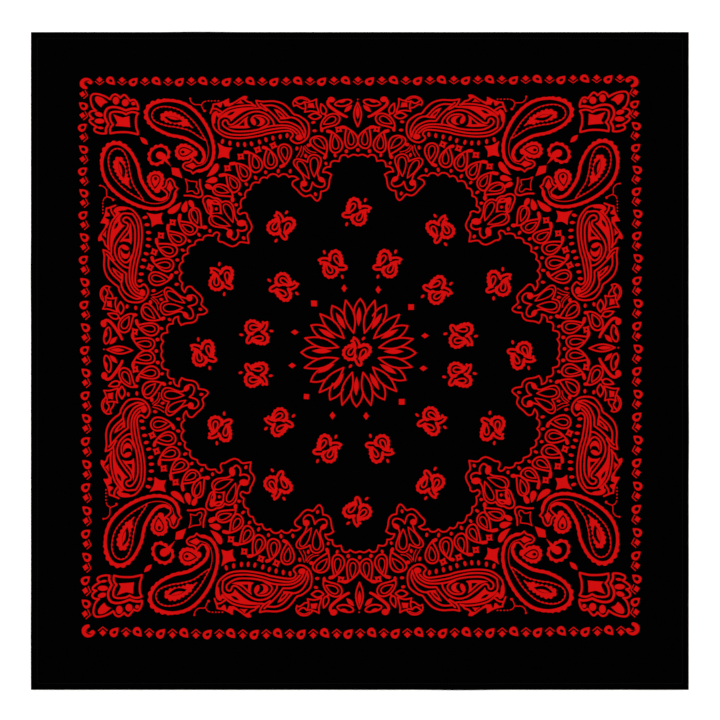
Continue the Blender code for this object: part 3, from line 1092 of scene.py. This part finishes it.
def double_drops():
    """The drops that stand on the scallops, each with a smaller one inside it, and the one that curls
    round the diagonal.
    """
    drawing = []
    for blob_x, blob_y, tip_x, tip_y, end_x, end_y, width, bow, *inner in LOBE_DROPS:
        drawing += pen(path([(blob_x, blob_y), (tip_x, tip_y)]), 2.8, 1.0, 0.5)
        drawing += pen(teardrop((tip_x, tip_y), (end_x, end_y), width, bow), 1.4)
        drawing += pen(teardrop(inner[0:2], inner[2:4], inner[4]), 1.0)
    drawing += strokes(1.4, (
        [(-106, 130.4), (-105.9, 134), (-107.6, 138.4), (-112, 142), (-117, 143.2), (-121, 141.8),
         (-122.6, 138.6), (-122, 136.2), (-119.5, 134.2), (-106.4, 132.6)],
    ))
    return drawing + pen(teardrop((-109.4, 136.2), (-120.8, 139.8), 4.9), 1.0)


def frame_solids():
    """The buds, beads and pierced squares among the double drops."""
    drawing = ink(
        oval(-106.0, 130.0, 3.2, 4.6), oval(-41.2, 177.4, 3.8, 3.0),
        teardrop((-121.4, 138.6), (-129.2, 142.8), 4.2), teardrop((-128.8, 145.4), (-118.8, 147.8), 5.2),
        teardrop((-127.8, 149.8), (-118.2, 161.2), 5.2, -1.2),
        pinched([(-118.2, 179.8), (-105.8, 175.4), (-108.4, 165.7), (-118.2, 165.9)], 1.4),
    )
    for x, y, across, tall, turn in (
        (-9.7, 171.8, 3.0, 3.4, 0), (-19.2, 168.2, 2.4, 3.4, 20), (-26.9, 161.2, 2.4, 3.0, 30),
        (-43.9, 168.0, 2.4, 3.6, 5), (-57.0, 154.6, 2.5, 3.7, -10), (-67.1, 154.8, 2.5, 3.9, -10),
        (-77.8, 153.8, 2.6, 3.2, 0), (-86.3, 149.0, 2.4, 3.8, 25), (-94.2, 143.4, 2.4, 3.4, 40),
        (-99.6, 134.9, 2.4, 3.8, 55), (-103.0, 125.5, 3.2, 2.6, 0), (-51.2, 174.6, 2.5, 3.6, -10),
        (-36.2, 190.3, 3.6, 2.5, 0), (-37.2, 197.8, 3.6, 2.5, 10),
    ):
        drawing += ink(oval(x, y, across, tall, turn))
    square = ink(pinched([(-2.7, 2.7), (2.7, 2.7), (2.7, -2.7), (-2.7, -2.7)], 0.4))
    square += bare(oval(0, 0, 1.7, 1.7))
    for x, y, turn in (
        (-71, 177.3, 25), (-84.3, 173.6, 20), (-98.6, 167.6, 5), (-110, 157.4, 5), (-16, 191.4, 10),
    ):
        drawing += moved(square, (x, y), turn)
    return drawing


def scalloped_frame():
    """The scalloped line round the middle, with the row of double drops that stands on it, and a leaf at
    the middle of each side.
    """
    middle = ink(oval(0.0, 172.9, 2.9, 3.2)) + pen(leaf((0.0, 216.0), (0.0, 193.8), 6.2), 1.3)
    middle += ink(leaf((0.0, 213.2), (0.0, 200.6), 3.0), oval(0.2, 218.7, 1.4, 1.5))
    return spread(scallops() + double_drops() + frame_solids(), IN_EIGHTHS) + spread(middle, ON_AXES)


def side_sprays():
    """The flower spray at the middle of each side: a curled stem, leaves, a bud and a fan of ticks."""
    drawing = pen(path(
        [(-21.6, 218.9), (-24.6, 217.2), (-24.4, 213.8), (-12, 204), (-9.2, 202.7)],
    ), 2.5, 1.0, 0.8)
    drawing += pen(smooth_run(
        [(-19, 214.2), (-16.6, 216.8), (-8, 218.6), (-5, 217.2), (-6.4, 214.8), (-10, 213), (-15, 212.6)],
        closed=True,
    ), 1.35)
    drawing += ink(
        oval(-22.0, 218.7, 6.0, 5.1, -10), leaf((-16.2, 216.2), (-9.6, 218.0), 2.8),
        leaf((-4.6, 213.6), (-11.2, 207.0), 3.6),
    )
    drawing += pen(path(
        [(-30.4, 191), (-31, 194.4), (-30, 198.2), (-27.2, 202.4), (-23.2, 205), (-19.2, 205.6),
         (-16.2, 204.2), (-15, 201.2), (-15.9, 198), (-18.5, 195.6), (-26.6, 193.2), (-30.2, 191.6)],
    ), 1.35)
    drawing += ink(oval(-30.2, 191.2, 2.8, 4.4)) + pen(teardrop((-28.7, 196.2), (-18.6, 201.9), 5.8), 1.1)
    drawing += pen(teardrop((-30.6, 214.8), (-27.9, 205.4), 4.6, 0.3), 1.3)
    drawing += pen(path([(-27.8, 205.6), (-26.4, 203.8)]), 1.6)
    drawing += pen(leaf((-41.0, 203.4), (-30.4, 203.4), 5.4), 1.4)
    drawing += pen(path(
        [(-53.4, 212.8), (-54.1, 215.6), (-53, 218.4), (-50.4, 220.5), (-47, 221.2), (-43.6, 220.4),
         (-39.6, 217)], [(-37.2, 217.8), (-34.5, 219.2)], [(-34.5, 214.6), (-32.3, 206.6)],
        [(-38.6, 208.2), (-44.4, 207.3)], [(-43.6, 210.4), (-43.8, 214), (-44.8, 216.8)], [(-42, 216.3),
         (-39.6, 217)],
    ), 1.25)
    drawing += pen(path([(-53.2, 213.3), (-51, 213.6), (-46.8, 210.8), (-44, 210.4)]), 1.25)
    drawing += pen(path([(-53, 218.2), (-49.8, 215.2), (-47.4, 214.8), (-44.8, 216.8)]), 1.3)
    drawing += pen(path([(-51.4, 218.4), (-48.6, 219.8), (-45.4, 219.6), (-42.6, 218.2)]), 0.9)
    drawing += ink(pinched([(-41.8, 211.4), (-41.2, 215.4), (-37.0, 215.6), (-35.9, 211.0)], 0.1))
    drawing += strokes(
        0.8,
        ([(-47.3, 176.6), (-48.8, 171.5), (-51.5, 166.8)],),
        ([(-45.8, 175.8), (-46.0, 171.5), (-48.0, 167.0)],),
        ([(-45.6, 175.5), (-43.0, 171.8), (-40.0, 170.0)],),
        ([(-44.6, 176.8), (-40.5, 172.3), (-35.2, 170.8)],),
    )
    return spread(drawing, IN_EIGHTHS)


def lobe_palmette():
    """The two-drop palmette that points inwards between two lobes of the frame."""
    drawing = strokes(
        1.25,
        ([(-45, 146), (-46.6, 151), (-53.8, 160.6), (-53.9, 163.4), (-51.5, 165.3), (-44.6, 163.6),
          (-42.5, 162.4)], [(-41.4, 166.6), (-38.6, 168.8), (-34.6, 168.5), (-31.3, 165.8), (-31.1, 162),
          (-34, 152.4), (-33.2, 149.8), (-31.4, 148.2)]),
        ([(-47.9, 142.6), (-47.9, 140.6), (-46.4, 138.3), (-43.6, 137.1), (-40.6, 138.5), (-38.3, 144.9)],
         [(-36.4, 142.4), (-33.4, 141), (-30, 140.9), (-28.1, 142.8), (-28.2, 145.4)]),
    )
    drawing += pen(teardrop((-41.2, 148.0), (-50.2, 163.2), 6.0), 1.0)
    drawing += pen(teardrop((-37.0, 149.6), (-36.7, 166.4), 6.7), 1.05)
    return drawing + ink(
        oval(-45.6, 143.8, 5.6, 5.2), oval(-30.9, 147.2, 6.2, 4.0, -35), oval(-36.0, 134.6, 2.4, 3.4, 15),
    )


def corner_palmette():
    """The palmette on the diagonal, with a pierced bud and a curled leaf behind it."""
    drawing = strokes(
        1.35,
        ([(-115.2, 127.6), (-112, 128.6), (-108.4, 127.6), (-105.8, 124.6), (-104.2, 116),
          (-102.8, 112.6), (-101, 110.6)],),
        ([(-96, 109.4), (-94.4, 107.4), (-94.5, 105), (-96.6, 103.4), (-99.4, 103.1), (-102.2, 103.9)],
         [(-101.5, 101), (-102.4, 97.6), (-105, 95.5), (-107.4, 96.9), (-108.6, 98.6)]),
        ([(-124.4, 116.4), (-126, 113.4), (-125.4, 109.8), (-122, 107.1), (-112.6, 105.6),
          (-110.4, 104.4)],),
    )
    drawing += pen(teardrop((-105.9, 110.4), (-112.6, 126.0), 6.2, -0.5), 1.0)
    drawing += pen(teardrop((-108.3, 107.3), (-123.6, 114.6), 6.2, 0.4), 1.0)
    drawing += strokes(1.4, (
        [(-115.2, 127.4), (-117, 129.8), (-119.8, 131.2), (-122.4, 131.5), (-125, 132.8), (-128, 133),
         (-130.5, 131.5), (-131.1, 128.5), (-130, 125.3), (-127.4, 119), (-125, 117.2), (-123.4, 115.8)],
    ))
    drawing += ink(
        oval(-98.6, 109.8, 8.0, 5.4, 5), oval(-108.8, 100.8, 5.0, 7.6, -12), oval(-97, 97, 2.6, 3.4, 35),
        path(
            [(-128.4, 128.4), (-127, 130.4), (-123.6, 129.6), (-120.4, 130), (-117.8, 128.6), (-116, 126),
             (-115.6, 122), (-114.9, 117.2)], [(-120, 118), (-124.2, 117.4), (-126.2, 120),
             (-128.4, 128.4)],
        ),
    )
    drawing += bare(
        path(
            [(-124, 126)], [(-117.4, 125.2)], [(-116.8, 121.8), (-117, 118.9)], [(-123.2, 118.4)],
            [(-122.8, 122.4), (-124, 126)],
        ),
        leaf((-123.0, 128.4), (-118.6, 127.2), 1.2), leaf((-126.4, 124.6), (-125.2, 120.4), 1.1),
    )
    drawing += ink(oval(-119.9, 121.9, 2.5, 2.7))
    drawing += strokes(0.9, (
        [(-146, 147.8)], [(-143, 146.3), (-136.4, 145.4)], [(-136.3, 143), (-136.9, 141), (-135.6, 139.6),
         (-134.9, 136), (-136.2, 134.9), (-138, 135.5), (-139.6, 137.2), (-141.8, 137.3),
         (-144.8, 136.4)], [(-144.3, 140), (-144.8, 144), (-146, 147.8)],
    ))
    return drawing + strokes(1.45, (
        [(-133.6, 147.2), (-133.5, 143), (-132.7, 139.4), (-131.6, 136), (-132.2, 133), (-135.2, 131.9),
         (-138.6, 132.7), (-142, 133.3), (-147, 133.3)],
    ))


def palmettes():
    """The two-drop palmettes that point inwards, eight between the lobes and one at each corner."""
    return spread(lobe_palmette(), IN_EIGHTHS) + spread(corner_palmette(), IN_QUARTERS)


def rosette():
    """Two beaded drops that curl round each other, each with the other's tail beside it, and two dots."""
    drawing = pen(path(
        [(3.2, 3.4), (2.3, 8.8), (0.3, 10.6), (-2.4, 11.1), (-4.6, 9.5), (-6.8, 3.9), (-6.8, 0.2)],
    ), 2.3, right=0.75, pitch=3.2)
    drawing += pen(path(
        [(7.2, 1), (7.3, -6.6), (6, -9), (3.4, -10.5), (0.4, -10.2), (-2, -8.6), (-3.2, -6), (-2.6, -3.6),
         (-1.2, -2.4)],
    ), 2.1, left=0.75, pitch=3.2)
    drawing += pen(teardrop((-5.8, -0.5), (-1.2, 7.2), 3.9), 1.4)
    drawing += pen(teardrop((5.6, 0.7), (1.3, -7.1), 4.0), 1.4)
    drawing += pen(path(
        [(-5.4, -0.6), (-8.6, -0.5), (-10.8, -1.4), (-11.2, -2.8), (-9.6, -4.1), (-3, -4.2)],
    ), 2.0)
    drawing += pen(path([(-1.4, -2.6), (2.6, -0.4)]), 1.2)
    drawing += pen(path([(2.8, 4.4), (6.2, 5), (9.6, 4.8), (12.4, 3.4)], [(10.8, 2), (10.6, 0.2)]), 1.9)
    drawing += pen(path([(10.2, 1), (8.6, 1.7), (3.4, 0.6)]), 1.8)
    return drawing + ink(oval(7.8, 10.2, 2.2, 3.6, -20), oval(-7.9, -10.3, 2.2, 3.6, -20))


ROSETTES = (
    # x, y, turn in degrees, mirrored: the outer ring, the inner one from the thirteenth on, the middle
    (-2, 119, 0, False), (-65, 107, -58, True), (68.5, 103, 57, False),
    (-116, 62, -29, True), (117, 56.5, 20, False), (-132, -1.5, -16, True),
    (136, -4.5, 174, True), (-118.5, -64.5, -157, False), (112, -65.5, 151, True),
    (-69.5, -111.5, -120, False), (60, -111.5, 125, True), (-2, -134, 105, True),
    (-21.5, 74.5, -2, True), (23.5, 74.5, 2, False), (-64, 55.5, -153, True),
    (65.5, 52, -29, False), (-87, 16.5, -120, True), (85.5, 13.5, -58, False),
    (-88, -18.5, -58, False), (84.5, -20.5, -122, True), (-68, -59, 152, False),
    (60.5, -59, -152, True), (-28, -81.5, 0, False), (16.5, -81.5, 177, True),
    (-2, 0, -63, True),
)


def rosettes():
    """Twelve rosettes in an outer ring, twelve in an inner one and one in the middle."""
    one = rosette()
    return [pair for x, y, turn, mirrored in ROSETTES for pair in moved(one, (x, y), turn, 1.0, mirrored)]


def sunburst():
    """The flower of 24 pointed petals round the middle: twelve whole ones, and between them the tips of
    twelve more with a dart in each. The darts sit a little off centre, and the petals at the lower left
    swing down, by a raised cosine. Of the tips, the last is turned a little, and the two at the sides are
    longer. Twelve small squares stand round it.
    """
    whole = pen(leaf((0.0, 17.6), (0.0, 46.8), 8.2), 1.35)
    behind = pen(path(
        [(-5.1, 33.4), (-4.6, 38), (-2.9, 42.6), (0, 46.6)], [(2.9, 42.6), (4.6, 38), (5.1, 33.4)],
    ), 1.35)
    dart = ink(leaf((0.0, 21.8), (0.0, 38.4), 4.0))
    most, middle, reach = 3.0, 125, 45      # how far the petals swing, round which turn, and how near it

    def swung(turn):
        """A petal's turn and its swing, in degrees."""
        return turn + most * ridge((turn - middle) / reach)

    drawing = []
    for number in range(12):
        turn = 30 * number
        more = 2.6 if number == 11 else 0.0
        drawing += moved(whole, turn=swung(turn + 15))
        drawing += moved(behind, turn=swung(turn) + more, size=1.03 if number % 6 == 3 else 1.0)
        drawing += moved(dart, (-0.7, 1.2), turn)
    lean = np.array(((1.01, -0.015), (0.04, 0.98)))
    drawing = moved(spread(drawing, [lean.T]), (-0.8, -0.4))
    for x, y, across, tall, turn in (
        (-12.5, 54.2, 4.6, 6.6, 0), (16.2, 52.8, 4.6, 6.6, 0), (43.8, 37.8, 6.6, 6.6, 45),
        (55.4, 13.4, 6.4, 4.6, 0), (54.0, -14.2, 6.6, 4.8, 0), (35.7, -42.3, 6.8, 6.8, 45),
        (5.5, -54.0, 4.8, 6.6, 0), (-23.0, -53.4, 4.8, 6.6, 0), (-45.1, -37.3, 6.0, 6.0, 40),
        (-57.0, -11.0, 6.4, 4.6, 0), (-54.5, 17.2, 6.6, 4.6, 0), (-38.0, 41.5, 6.6, 7.0, 45),
    ):
        square = ink(pinched([(0, tall / 2), (across / 2, 0), (0, -tall / 2), (-across / 2, 0)]))
        drawing += moved(square, (x, y), turn)
    return drawing


def vine_sprigs():
    """A thin vine beside each big paisley, with a bud at each end and a row of dots beyond it."""
    vine = pen(path(
        [(-141.4, 220.4), (-140.4, 217.2), (-137.6, 214.8), (-132, 214.2), (-130.8, 211.4),
         (-129.4, 209)],
    ), 0.85)
    vine += pen(path([(-131.6, 214.2), (-130.2, 216.6), (-127.8, 217.8)]), 0.8)
    for x in (-125.6, -122.8, -120.0, -117.2):
        vine += ink(oval(x, 218.0, 1.6, 1.2))
    vine += ink(oval(-141.2, 220.2, 1.6, 2.0), oval(-129.0, 208.8, 2.4, 2.2))
    return spread(vine, IN_EIGHTHS)


# ---------------------------------------------------------------------------------------- operators


class MakeStudio(bpy.types.Operator):
    """Lays the paper floor and sets up the soft light and the camera"""
    bl_idname = "bandana.make_studio"
    bl_label = "Studio"

    def execute(self, context):
        make_floor()
        make_lights()
        make_camera()
        return {"FINISHED"}


class MakeCloth(bpy.types.Operator):
    """Makes the cotton square with its hems"""
    bl_idname = "bandana.make_cloth"
    bl_label = "Cloth"

    def execute(self, context):
        make_cloth()
        return {"FINISHED"}


class SewHems(bpy.types.Operator):
    """Sews the hems: the stitches on the printed side and those beneath"""
    bl_idname = "bandana.sew_hems"
    bl_label = "Hem stitches"

    def execute(self, context):
        make_stitches("stitches_top", RIM_TOP, 1.0)
        make_stitches("stitches_under", sizes().sewing_thread / 2, -0.3)
        return {"FINISHED"}


class PrintBorder(bpy.types.Operator):
    """Prints the diamonds, chevrons and drops round the edge"""
    bl_idname = "bandana.print_border"
    bl_label = "Border"

    def execute(self, context):
        make_print("print_border", border_rows())
        return {"FINISHED"}


class PrintCornerBlocks(bpy.types.Operator):
    """Prints the pinched squares with their petals in the corners"""
    bl_idname = "bandana.print_corner_blocks"
    bl_label = "Corner blocks"

    def execute(self, context):
        make_print("print_corner_blocks", corner_blocks())
        return {"FINISHED"}


class PrintPaisleys(bpy.types.Operator):
    """Prints the eight big curled paisleys"""
    bl_idname = "bandana.print_paisleys"
    bl_label = "Paisleys"

    def execute(self, context):
        make_print("print_paisleys", paisleys())
        return {"FINISHED"}


class PrintHorseshoes(bpy.types.Operator):
    """Prints the beaded horseshoes on the diagonals"""
    bl_idname = "bandana.print_horseshoes"
    bl_label = "Horseshoes"

    def execute(self, context):
        make_print("print_horseshoes", horseshoes())
        return {"FINISHED"}


class PrintFeathers(bpy.types.Operator):
    """Prints the eight feathered paisleys along the sides"""
    bl_idname = "bandana.print_feathers"
    bl_label = "Feathered paisleys"

    def execute(self, context):
        make_print("print_feathers", feathers())
        return {"FINISHED"}


class PrintScallopedFrame(bpy.types.Operator):
    """Prints the scalloped line and the drops that stand on it"""
    bl_idname = "bandana.print_scalloped_frame"
    bl_label = "Scalloped frame"

    def execute(self, context):
        make_print("print_scalloped_frame", scalloped_frame())
        return {"FINISHED"}


class PrintSideSprays(bpy.types.Operator):
    """Prints the flower sprays at the middles of the sides"""
    bl_idname = "bandana.print_side_sprays"
    bl_label = "Side sprays"

    def execute(self, context):
        make_print("print_side_sprays", side_sprays())
        return {"FINISHED"}


class PrintPalmettes(bpy.types.Operator):
    """Prints the palmettes that point inwards"""
    bl_idname = "bandana.print_palmettes"
    bl_label = "Palmettes"

    def execute(self, context):
        make_print("print_palmettes", palmettes())
        return {"FINISHED"}


class PrintVineSprigs(bpy.types.Operator):
    """Prints the thin sprigs beside the big paisleys"""
    bl_idname = "bandana.print_vine_sprigs"
    bl_label = "Vine sprigs"

    def execute(self, context):
        make_print("print_vine_sprigs", vine_sprigs())
        return {"FINISHED"}


class PrintRosettes(bpy.types.Operator):
    """Prints the double drops that fill the middle"""
    bl_idname = "bandana.print_rosettes"
    bl_label = "Rosettes"

    def execute(self, context):
        make_print("print_rosettes", rosettes())
        return {"FINISHED"}


class PrintSunburst(bpy.types.Operator):
    """Prints the ring of petals round the middle and the squares about it"""
    bl_idname = "bandana.print_sunburst"
    bl_label = "Sunburst"

    def execute(self, context):
        make_print("print_sunburst", sunburst())
        return {"FINISHED"}


class LayCloth(bpy.types.Operator):
    """Takes no step of its own: the cloth, its stitches and its print lie on the paper as they are made"""
    bl_idname = "bandana.lay_cloth"
    bl_label = "Lay the cloth"

    def execute(self, context):
        return {"FINISHED"}


class BANDANA_PT_pieces(bpy.types.Panel):
    """Lists the sizes, the colours and the pieces"""
    bl_label = "Bandana"
    bl_space_type = "VIEW_3D"
    bl_region_type = "UI"
    bl_category = "Bandana"

    def draw(self, context):
        for group in (sizes(), colours()):
            for name in group.bl_rna.properties.keys():
                if name not in {"rna_type", "name"}:
                    self.layout.prop(group, name)
        for operator in OPERATORS:
            self.layout.operator(operator.bl_idname)


PRINTERS = (
    PrintBorder, PrintCornerBlocks, PrintPaisleys, PrintHorseshoes, PrintFeathers, PrintScallopedFrame,
    PrintSideSprays, PrintPalmettes, PrintVineSprigs, PrintRosettes, PrintSunburst,
)
OPERATORS = (MakeStudio, MakeCloth, SewHems, *PRINTERS, LayCloth)
CLASSES = (BandanaSizes, BandanaColours, *OPERATORS, BANDANA_PT_pieces)


def register():
    for made in CLASSES:
        bpy.utils.register_class(made)
    bpy.types.Scene.bandana_sizes = PointerProperty(type=BandanaSizes)
    bpy.types.Scene.bandana_colours = PointerProperty(type=BandanaColours)


def unregister():
    del bpy.types.Scene.bandana_colours
    del bpy.types.Scene.bandana_sizes
    for made in reversed(CLASSES):
        bpy.utils.unregister_class(made)


def main():
    """Makes every piece in order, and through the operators."""
    register()
    for operator in OPERATORS:
        group, name = operator.bl_idname.split(".")
        getattr(getattr(bpy.ops, group), name)()


if __name__ == "__main__":
    main()
